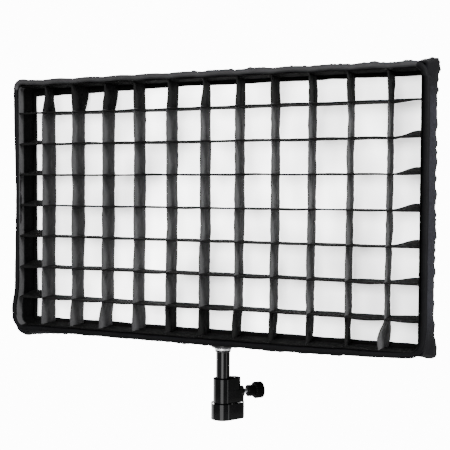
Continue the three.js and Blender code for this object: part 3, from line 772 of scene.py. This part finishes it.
def make_diffuser(look):
    """White cloth held at its edge, with soft pulls that fade towards the middle."""
    low, high = span("diffuser")
    x = np.linspace(low[0], high[0], 149)
    z = np.linspace(low[2], high[2], 91)
    grid_x, grid_z = round_corners(*np.meshgrid(x, z, indexing="ij"), high[0], high[2], 8.0)
    base = np.stack([grid_x, np.zeros_like(grid_x), grid_z], -1)
    edge = np.minimum(high[0] - np.abs(grid_x), high[2] - np.abs(grid_z))
    pulls = waves(base * (1, 1, 0.35), 34, 21) * np.exp(-edge / 90)
    broad = waves(base, 120, 22)
    dent = np.clip(1.3 + 1.4 * pulls + 0.9 * broad, -0.2, 4.2)
    points = np.stack([grid_x, high[1] + smooth_step(edge / 14) * dent, grid_z], -1)
    diffuser = add_cloth("diffuser_cloth", points, look.white_cloth, 0.4, looped=False)
    ready(diffuser, "softbox", "white_cloth", "diffuser")


def make_diffuser_edge(look):
    """The black band round the diffuser, whose inner edge wavers a little."""
    low, high = span("diffuser_band")
    base, normals = walk(high[0], high[2], 6, 4.0)
    sway = np.clip(rim_shift(base), 0, None)
    waver = waves(base, 40, 31)
    droop = 4.5 * np.clip(normals[:, 2], 0, 1) * smooth_step(-base[:, 0] / 260)
    window = 13.0
    rings = []
    for share in np.linspace(0, 1, 5):
        inset = share * (window + droop + 0.9 * waver) - (1 - share) * sway
        depth = low[1] + 0.6 + 0.35 * waver * sin(share * pi)
        rings.append(shift(base, normals, -inset, depth))
    edge = add_cloth("diffuser_edge", np.stack(rings, 1), look.border_cloth, 0.6)
    ready(edge, "softbox", "black_cloth", "diffuser_band")


# ---------- grid ----------

# How the end of each upright leans sideways, in millimetres, left to right: at its top front,
# top back, bottom front and bottom back.
UPRIGHT_LEANS = [
    (5, -2.5, -2.3, -0.8), (0, 6, -4, -2.5), (3, 5, -6, -4.5), (-1.5, -1.5, -3, 0.5),
    (1.5, 1, -1.5, -1), (3, -1, -1.5, 0), (1.5, 0, -2.7, -4), (-1.5, -1, -1.7, -2.8),
    (-1, 0, -1.3, -2.5), (-1, -0.6, -1, -2), (-1, 0.5, -8, -2.8),
]
# The first and last upright, counted from 0, whose lower end gets painted shade. Every upper end does.
FIRST_SHADED, LAST_SHADED = 4, 9
# How far each level strip's back edge rises at its two ends, in millimetres, top to bottom.
LEFT_TWISTS = (3.6, 6.5, 6.5, 6.5, 6.5, 6.5, 6.5)
RIGHT_TWISTS = (3.2, 9.0, 7.8, 7.8, 7.6, 5.1, 1.2)


def cell_ripple(along, pitch, cells, size, dice):
    """A gentle bow in each cell between crossings, each with its own size."""
    phase = along / pitch + cells / 2
    cell = np.clip(np.floor(phase).astype(int), 0, cells - 1)
    sizes = np.array([dice.uniform(-size, size) for _ in range(cells)])
    return sizes[cell] * np.abs(np.sin(np.pi * phase))


def strip_ripple(s, t, pitch, cells, front_size, back_size, dice):
    """A strip's bows, from those of its front edge to those of its back edge."""
    front = cell_ripple(s, pitch, cells, front_size, dice)
    back = cell_ripple(s, pitch, cells, back_size, dice)
    return front * (1 - t) + back * t


def sew_strip(strip, node):
    """A strip rides on the grid and stands for its CAD node."""
    ready(strip, "grid", "grid_cloth", node)


def make_upright(index, look, dice):
    """One upright strip: flat at the crossings, leaning and rippled near its ends."""
    node = f"grid_upright_{index + 1:02d}"
    low, high = span(node)
    last_crossing = (ROWS / 2 - 1) * CELL_HEIGHT
    half = high[2]
    s, t = np.meshgrid(np.linspace(-half, half, 200), np.linspace(0, 1, 13), indexing="ij")
    top_front, top_back, bottom_front, bottom_back = UPRIGHT_LEANS[index]
    up = smooth_step((s - last_crossing + 4) / (half - last_crossing - 6))
    down = smooth_step((-s - last_crossing + 4) / (half - last_crossing - 6))
    x = up * (top_front * (1 - t) + top_back * t) + down * (bottom_front * (1 - t) + bottom_back * t)
    x += -1.2 * smooth_step(-s / 110) * (1 - down)
    x += strip_ripple(s, t, CELL_HEIGHT, ROWS, 0.7, 0.5, dice)
    if index == COLUMNS - 2:  # the last one's lower end opens into a leaf
        x += 2.5 * (2 * t - 1) * bell(-s, last_crossing + 22, 13)
    base = np.stack([np.zeros_like(s), t * STRIP_DEPTH, s], -1)
    x += 0.8 * waves(base * (1, 1, 0.2), 8, 40 + index)
    x += 0.4 * waves(base * (1, 1, 0.4), 4, 60 + index)
    points = np.stack([middle(node)[0] + x, low[1] + t * (high[1] - low[1]), s], -1)
    strip = add_cloth(f"upright_{index + 1:02d}", points, look.grid_cloth, 0.9, looped=False)
    # Painted shade: the uprights' ends beyond the last crossings take the grid cloth's darker copy.
    top = last_crossing + 2
    bottom = -top if FIRST_SHADED <= index <= LAST_SHADED else -half
    patch(strip, look.level_cloth, lambda x, depth, z: z > top or z < bottom)
    sew_strip(strip, node)


def make_level(index, look, dice):
    """One level strip: nearly flat, twisted at both ends so that its back edge rises."""
    node = f"grid_level_{index + 1}"
    low, high = span(node)
    last_crossing = (COLUMNS / 2 - 1) * CELL_WIDTH
    half = high[0]
    s, t = np.meshgrid(np.linspace(-half, half, 320), np.linspace(0, 1, 13), indexing="ij")
    right = smooth_step((s - last_crossing + 2) / (half - last_crossing - 6))
    left = smooth_step((-s - last_crossing + 2) / 22)
    z = t * (LEFT_TWISTS[index] * left + RIGHT_TWISTS[index] * right)
    z += strip_ripple(s, t, CELL_WIDTH, COLUMNS, 0.8, 0.6, dice)
    z -= 0.25 * max(0, index - 2) * (1 - t) * np.abs(np.sin(np.pi * s / CELL_WIDTH))
    base = np.stack([s, t * STRIP_DEPTH, np.zeros_like(s)], -1)
    z += 0.35 * waves(base * (0.22, 1, 1), 9, 80 + index)
    points = np.stack([s, low[1] + t * (high[1] - low[1]), middle(node)[2] + z], -1)
    # The level strips take the grid cloth's darker copy as painted shade.
    strip = add_cloth(f"level_{index + 1}", points, look.level_cloth, 1.9, looped=False)
    sew_strip(strip, node)


def make_border(look):
    """The cloth band that the strips are sewn to, puckered between them."""
    low, high = span("grid_border")
    base, normals = walk(high[0] - 0.6, high[2] - 0.6, 7, 3.0)
    pucker = waves(base, 22, 51)
    fine = waves(base, 7, 52)
    sway = np.clip(rim_shift(base), 0, None)
    rings = []
    for t in np.linspace(0, 1, 11):
        arch = sin(pi * t)
        out = -0.5 + 0.5 * pucker * arch + 0.18 * fine - 0.6 * arch + sway * smooth_step(1 - t)
        rings.append(shift(base, normals, out, low[1] + t * (high[1] - low[1])))
    border = add_cloth("border", np.stack(rings, 1), look.border_cloth, 0.8)
    # Painted shade and light: the border takes the darker cloth, and its front at the left keeps the grid
    # cloth as painted light.
    hem, edge = low[1] + 12, high[0] - 5
    patch(border, look.grid_cloth, lambda x, depth, z: depth < hem and x < -edge)
    ready(border, "grid", "grid_cloth", "grid_border")


def make_grid(look):
    dice = random.Random(7)
    make_border(look)
    for index in range(COLUMNS - 1):
        make_upright(index, look, dice)
    for index in range(ROWS - 1):
        make_level(index, look, dice)


# ---------- lamp and yoke ----------


def add_screws(name, places, depth, radius, material):
    """Cross-head screws whose heads stand on a face at a depth."""
    profile = [
        (0, depth - 1), (radius, depth - 1), (radius, depth + 0.6, 0.3),
        (radius * 0.6, depth + 1.3, 1.0), (0, depth + 1.3),
    ]
    heads = [add_turned("head", profile, "y", material, (x, 0, z), 32) for x, z in places]
    screws = merge(name, heads)
    reach, half = radius * 0.6, radius * 0.14
    for across, along in ((reach, half), (half, reach)):
        slots = [slab(x, z, across, along, depth + 0.4, depth + 3) for x, z in places]
        carve(screws, slots)
    return screws


def make_housing(look):
    """The lamp's tray: cooling grooves on both sides of the driver, and screws round its back."""
    back = span("lamp_housing")[1][1]
    shell = rounded_copy("lamp_housing", "lamp_shell", look.lamp_coat, 1.0)
    columns = [side * x for side in (-1, 1) for x in range(104, 273, 8)]
    carve(shell, [slab(x, 0, 0.9, 142, back - 1.0, back + 2) for x in columns])
    places = [(x, z) for x in (-283, -140, 0, 140, 283) for z in (-163, 163)]
    places += [(-283, 0), (283, 0)]
    screws = add_screws("shell_screws", places, back, 3.2, look.steel)
    ready(merge("lamp_shell", [shell, screws]), "lamp", "lamp_metal", "lamp_housing")


def make_light_board(look):
    """The white board with its rows of warm and cool emitters."""
    columns, rows, pitch = 24, 14, 24
    front = span("led_board")[0][1]
    board = rounded_copy("led_board", "light_board", look.board_white, 0.3)
    chips = {"warm_emitter": [], "cool_emitter": []}
    for column in range(columns):
        for row in range(rows):
            x, z = (column - (columns - 1) / 2) * pitch, (row - (rows - 1) / 2) * pitch
            kind = "warm_emitter" if (column + row) % 2 else "cool_emitter"
            chips[kind].append(slab(x, z, 1.75, 1.4, front - 0.7, front + 0.2))
    pieces = [add_blocks(kind, boxes, vars(look)[kind], 0.2) for kind, boxes in chips.items()]
    ready(merge("light_board", [board, *pieces]), "lamp", "board_white", "led_board")


def make_driver_case(look):
    """The driver's box, with vents through its top and its underside."""
    case = rounded_copy("driver_box", "driver_case", look.lamp_coat, 1.2)
    low, high = span("driver_box")
    places = [(x, z) for z in (low[2], high[2]) for x in range(-60, 61, 8)]
    carve(case, [slab(x, z, 1.2, 1.1, low[1] + 9, high[1] - 9) for x, z in places])
    ready(case, "lamp", "lamp_metal", "driver_box")


def add_ticks(centre, depth, material):
    """Short marks round a dial over 300 degrees, every fifth one longer."""
    count = 21
    points, faces = [], []
    for i in range(count):
        angle = radians(-150 + 300 * i / (count - 1))
        outward = np.array([sin(angle), 0, cos(angle)])
        sideways = np.array([cos(angle), 0, -sin(angle)])
        inner, outer, half = 12.6, 16.2 if i % 5 == 0 else 14.8, 0.35
        faces += [tuple(len(points) + k for k in face) for face in BLOCK_FACES]
        for reach in (inner, outer):
            for level in (depth - 0.1, depth + 0.15):
                for side in (-half, half):
                    spot = np.array([centre[0], level, centre[2]])
                    points.append(spot + outward * reach + sideways * side)
    return add_mesh("ticks", points, faces, material)


def make_driver_cover(look):
    """The cover: its openings, an engraved border, dial marks, and a screw in each corner."""
    high = span("driver_cover")[1]
    back = high[1]
    cover = rounded_copy("driver_cover", "driver_lid", look.cover_plastic, 0.7)
    half_width, half_height, half_line = high[0] - 13, high[2] - 13, 0.4
    for x, z, across, along in (
        (half_width, 0, half_line, half_height), (0, half_height, half_width, half_line)
    ):
        start, end = back - 0.5, back + 1
        carve(cover, [slab(side * x, side * z, across, along, start, end) for side in (-1, 1)])
    places = [(x, z) for x in (-77, 77) for z in (-71, 71)]
    screws = add_screws("lid_screws", places, back, 2.9, look.steel)
    dials = (middle("dimmer_dial"), middle("colour_dial"))
    ticks = [add_ticks(centre, back, look.mark_white) for centre in dials]
    ready(merge("driver_lid", [cover, screws, *ticks]), "lamp", "dark_plastic", "driver_cover")


def make_dials(look):
    """Two rotary dials, each with fine flutes, a skirt and a white pointer."""
    for node, name in (("dimmer_dial", "brightness_knob"), ("colour_dial", "warmth_knob")):
        low, high = span(node)
        reach = high[1] - low[1]
        profile = [
            (0, 14.3, 0), (9.8, 14.3, 0), (9.8, 15.6, 0), (9.2, 16.4, 0.4), (9.0, 17.2, 1),
            (8.6, reach - 1.6, 1), (8.2, reach - 0.6, 0.7), (7.2, reach, 0), (6.2, reach, 0),
            (5.6, reach - 0.5, 0), (0, reach - 0.5, 0),
        ]
        grip = add_grip(profile, 24, 0.6, 192, look.knob_rubber)
        shaft = add_turned("shaft", barrel(3, 0, 15, 0.4), "x", look.steel, sides=32)
        mark = [((reach - 0.8, -0.6, 1.5), (reach + 0.02, 0.6, 7.6))]
        knob = merge(name, [grip, shaft, add_blocks("pointer", mark, look.mark_white, 0.1)])
        x, _, z = middle(node)
        turn_piece(knob, pi / 2, (x, low[1], z))
        ready(knob, node, "knob_rubber", node)


def make_switch_and_inlet(look):
    """The rocker switch, and the mains socket with its three pins."""
    rocker = rounded_copy("power_switch", "rocker", look.cover_plastic, 0.6)
    ready(rocker, "power_switch", "dark_plastic", "power_switch")
    low, high = span("power_inlet")
    socket = rounded_copy("power_inlet", "mains_socket", look.cover_plastic, 0.5)
    x, _, z = middle("power_inlet")
    places = ((-7, -1.2), (0, 1.6), (7, -1.2))
    boxes = [slab(x + dx, z + dz, 1, 2, low[1] + 3.2, high[1] - 4) for dx, dz in places]
    pins = add_blocks("pins", boxes, look.steel, 0.4)
    ready(merge("mains_socket", [socket, pins]), "lamp", "dark_plastic", "power_inlet")


def make_yoke(look):
    """The bent bar, with rounded edges."""
    ready(rounded_copy("yoke", "bracket", look.yoke_coat, 0.9), "yoke", "yoke_metal", "yoke")


# ---------- stand ----------

TUBE_RADIUS = 12.5
BORE = 12.9  # the radius of the collars' holes round the tube
SOCKET_TOP = -161  # the inner end of the receiver's socket


def make_riser(look):
    """The riser with its flange, its chrome ring and the grooved stud on its top."""
    low, high = span("riser_tube")
    radius = 10.0
    flange = (high[0] - low[0]) / 2
    top = high[2]
    profile = [
        (6.4, top), (6.4, top - 15), (8, top - 15), (8, low[2]), (radius, low[2], 0.4),
        (radius, top - 2.6, 0.5), (flange, top - 1.8, 0.5), (flange, top, 0.6),
    ]
    ready(add_on_axis("riser", profile, look.stand_paint), "riser", "stand_black", "riser_tube")
    low, high = span("riser_ring")
    profile = barrel((high[0] - low[0]) / 2, low[2], high[2], 0.7, 0.9, inner=8.5)
    ready(add_on_axis("ring", profile, look.ring_chrome), "riser", "chrome", "riser_ring")
    low, high = span("spigot")
    profile = [
        (0, low[2]), (6, low[2], 0.5), (6, low[2] + 14), (8, low[2] + 14, 0.4), (8, -194, 0.6),
        (6.4, -192, 0.6), (6.4, -180, 0.6), (8, -178, 0.6), (8, high[2], 1.4), (0, high[2]),
    ]
    ready(add_on_axis("stud", profile, look.chrome), "riser", "chrome", "spigot")


def collar_outline(radius, ear_radius, ear_place):
    """Points round a large circle at the tube and a small one at +X, joined by tangents."""
    start = pi / 2 - asin((radius - ear_radius) / ear_place)
    main, ear = np.linspace(start, tau - start, 80), np.linspace(-start, start, 40)
    x = np.r_[radius * np.cos(main), ear_place + ear_radius * np.cos(ear)]
    return np.column_stack([x, np.r_[radius * np.sin(main), ear_radius * np.sin(ear)]])


def add_collar(name, rings, bore, material):
    """A collar lofted from (radius, ear radius, ear place, height) rings, bored through."""
    loops = []
    for *plan, height in rings:
        outline = collar_outline(*plan)
        loops.append(np.column_stack([outline, np.full(len(outline), height)]))
    first = loops[0]
    angles = np.arctan2(first[:, 1], first[:, 0])
    for height in (rings[-1][3], rings[0][3]):
        flat = np.full(len(angles), height)
        loops.append(np.column_stack([bore * np.cos(angles), bore * np.sin(angles), flat]))
    return add_surface(name, np.array(loops), material, (True, True), sharp=40)


def collar_rings(plan, low, high, low_edge, high_edge, ear_edge=0.0):
    """Rings of a collar with rounded edges; ear_edge rounds the ear's top further."""
    radius, ear_radius, ear_place = plan
    rings = []
    for angle in np.linspace(0, pi / 2, 6):
        back = low_edge * (1 - sin(angle))
        height = low + low_edge * (1 - cos(angle))
        rings.append((radius - back, ear_radius - back, ear_place, height))
    for angle in np.linspace(pi / 2, 0, 9):
        back, ear_back = high_edge * (1 - sin(angle)), ear_edge * (1 - sin(angle))
        height = high - (high_edge + ear_edge) * cos(angle)
        rings.append((radius - back, ear_radius - back, ear_place - ear_back, height))
    return rings


def ready_collar(name, pieces, node):
    """Joins a collar's pieces, made with their ear along +X, and turns them to its place."""
    collar = merge(name, pieces)
    turn_piece(collar, CLAMP_TURN, (0, AXIS, 0))
    ready(collar, "stand_top", "stand_black", node)


def make_collars(look):
    """The two clamp collars, the upper one with the lock knob's boss, and the tube they hold."""
    coat = look.collar_paint
    low, high = span("upper_collar")
    narrow = collar_rings((13.9, 9.5, 17), low[2] + 1, high[2], 0.1, 1.0, 3.6)
    wide = collar_rings((13.9, 9.0, 23.0), low[2], low[2] + 17.7, 0.8, 0.2, 0.5)
    spot = (0, 0, middle("lock_knob")[2])
    boss = add_turned("boss", barrel(8.5, 19, 31.4, 0, 1.6, inner=3.4), "x", coat, spot)
    clamp = add_collar("upper_clamp", narrow, 10.5, coat)
    ready_collar("upper_clamp", [clamp, add_collar("ear", wide, BORE, coat), boss], "upper_collar")
    low, high = span("lower_collar")
    rings = collar_rings((17, 12.5, 19.8), low[2], high[2], 0.3, 1.6)
    clamp = add_collar("lower_clamp", rings, BORE, coat)
    floor = add_turned("floor_disc", barrel(13, low[2], low[2] + 2.4), "z", coat)
    ready_collar("lower_clamp", [clamp, floor], "lower_collar")
    low, high = span("mid_tube")
    inner = 10.6
    profile = [
        (inner, low[2]), (TUBE_RADIUS, low[2]), (TUBE_RADIUS, high[2], 0.5), (inner, high[2], 0.5)
    ]
    tube = add_on_axis("middle_tube", profile, look.stand_paint)
    ready(tube, "stand_top", "stand_black", "mid_tube")


def add_grip(profile, flutes, depth, sides, material):
    """A grip along +X, from corners of (radius, along, flute share), fluted round its rim."""
    angles = np.linspace(0, tau, sides, endpoint=False)
    rings = []
    for radius, along, share in profile:
        scallop = (0.5 - 0.5 * np.cos(flutes * angles)) ** 2
        reach = radius - depth * share * scallop
        rings.append(np.stack([np.full(sides, along), reach * np.cos(angles), reach * np.sin(angles)], -1))
    return add_surface("grip", np.array(rings), material, (False, True), sharp=30)


def add_knob(name, material, metal, stud, hub, head, flutes):
    """A clamp knob along +X. Its stud, hub and fluted head are each (radius, from, to)."""
    shaft = add_turned("stud", barrel(*stud, 0.6), "x", metal, sides=40)
    collar = add_turned("hub", barrel(*hub, 1.0), "x", material, sides=72)
    radius, start, end = head
    profile = [
        (0, start, 0), (radius - 2.4, start, 0.2), (radius - 0.9, start + 0.5, 0.7),
        (radius, start + 1.8, 1), (radius, end - 2.6, 1), (radius - 0.7, end - 1.2, 0.8),
        (radius - 2.2, end - 0.3, 0.3), (radius - 4, end, 0), (radius - 5.2, end - 0.5, 0),
        (0, end - 0.5, 0),
    ]
    return merge(name, [add_grip(profile, flutes, 0.9, 160, material), shaft, collar])


def turn_piece(piece, angle, spot):
    """Turns a piece that was made at the head's origin, and moves it to a head point."""
    origin = Matrix.Translation(-Vector(place((0, 0, 0))))
    turn = Matrix.Rotation(angle, 3, "Z").to_4x4()
    piece.data.transform(Matrix.Translation(Vector(place(spot))) @ turn @ origin)


def make_clamp_knobs(look):
    """The height lock's knob, the receiver's and the two tilt knobs."""
    lock, receiver = "lock_knob", "receiver_knob"
    receiver_end = span(receiver)[1][1] - AXIS
    # Node, piece, turn, height, then stud, hub, head and flutes.
    knobs = [
        (lock, "height_knob", CLAMP_TURN, middle(lock)[2],
         (3, 10.8, 38), (8.4, 37.4, 48.5), (12, 47.6, 62), 22),
        (receiver, "stud_knob", pi / 2, middle(receiver)[2],
         (3, 8.6, 26), (7.7, 25.5, 33.5), (11, 33, receiver_end), 20),
    ]
    for side, turn in (("right", 0), ("left", pi)):
        node = f"tilt_knob_{side}"
        start, end = sorted(abs(corner[0]) for corner in span(node))
        shape = ((4, start, 95), (11, 93.3, 99.5), (17, 98.3, end), 12)
        knobs.append((node, f"tilt_grip_{side}", turn, 0, *shape))
    for node, name, turn, height, *shape in knobs:
        knob = add_knob(name, look.knob_rubber, look.steel, *shape)
        turn_piece(knob, turn, (0, AXIS, height))
        ready(knob, node, "knob_rubber", node)


def make_receiver(look):
    """The yoke's socket with its groove and its knob's boss, and the bolt that holds it."""
    low, high = span("receiver")
    radius = (high[0] - low[0]) / 2
    top, bottom, end = high[2], low[2], high[1] - AXIS
    profile = [
        (8.4, bottom), (radius - 1, bottom, 0.4), (radius, bottom + 2.4, 1.6), (radius, top - 10, 0.3),
        (radius - 0.8, top - 9.4, 0.2), (radius - 0.8, top - 7.8, 0.2), (radius, top - 7.2, 0.3),
        (radius, top, 1.2), (4.4, top), (4.4, SOCKET_TOP), (8.4, SOCKET_TOP),
    ]
    body = add_on_axis("socket", profile, look.stand_paint)
    spot = (0, AXIS, middle("receiver_knob")[2])
    boss = add_turned("boss", barrel(9, 12, end, 0, 1.2, inner=3.4), "y", look.stand_paint, spot)
    ready(merge("socket", [body, boss]), "yoke", "stand_black", "receiver")
    low, high = span("receiver_bolt")
    shank = add_on_axis("shank", barrel(4, low[2], high[2] - 4, 0.5), look.steel, 40)
    head = add_on_axis("bolt_head", barrel(8, high[2] - 5.5, high[2]), look.steel, 6)
    soften(head, 0.5)
    ready(merge("hanger_bolt", [shank, head]), "yoke", "chrome", "receiver_bolt")


# ---------- assembly ----------


def dress_cad_nodes(look):
    """CAD nodes that stay in view get their materials."""
    looks = {
        "elastic_cord": look.elastic,
        "driver_board": look.circuit_green,
        "friction_washer_left": look.elastic, "friction_washer_right": look.elastic,
    }
    for node, material in looks.items():
        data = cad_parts[node].data
        data.materials.clear()
        data.materials.append(material)


make_camera()
make_world()
for light in LIGHTS:
    add_area_light(*light)
make_floor()
look = make_materials()
for make in (
    make_rim, make_frame, make_skirt, make_diffuser_edge, make_diffuser, make_grid,
    make_housing, make_light_board, make_driver_case, make_driver_cover, make_dials,
    make_switch_and_inlet, make_yoke, make_riser, make_collars, make_clamp_knobs, make_receiver,
    dress_cad_nodes,
):
    make(look)
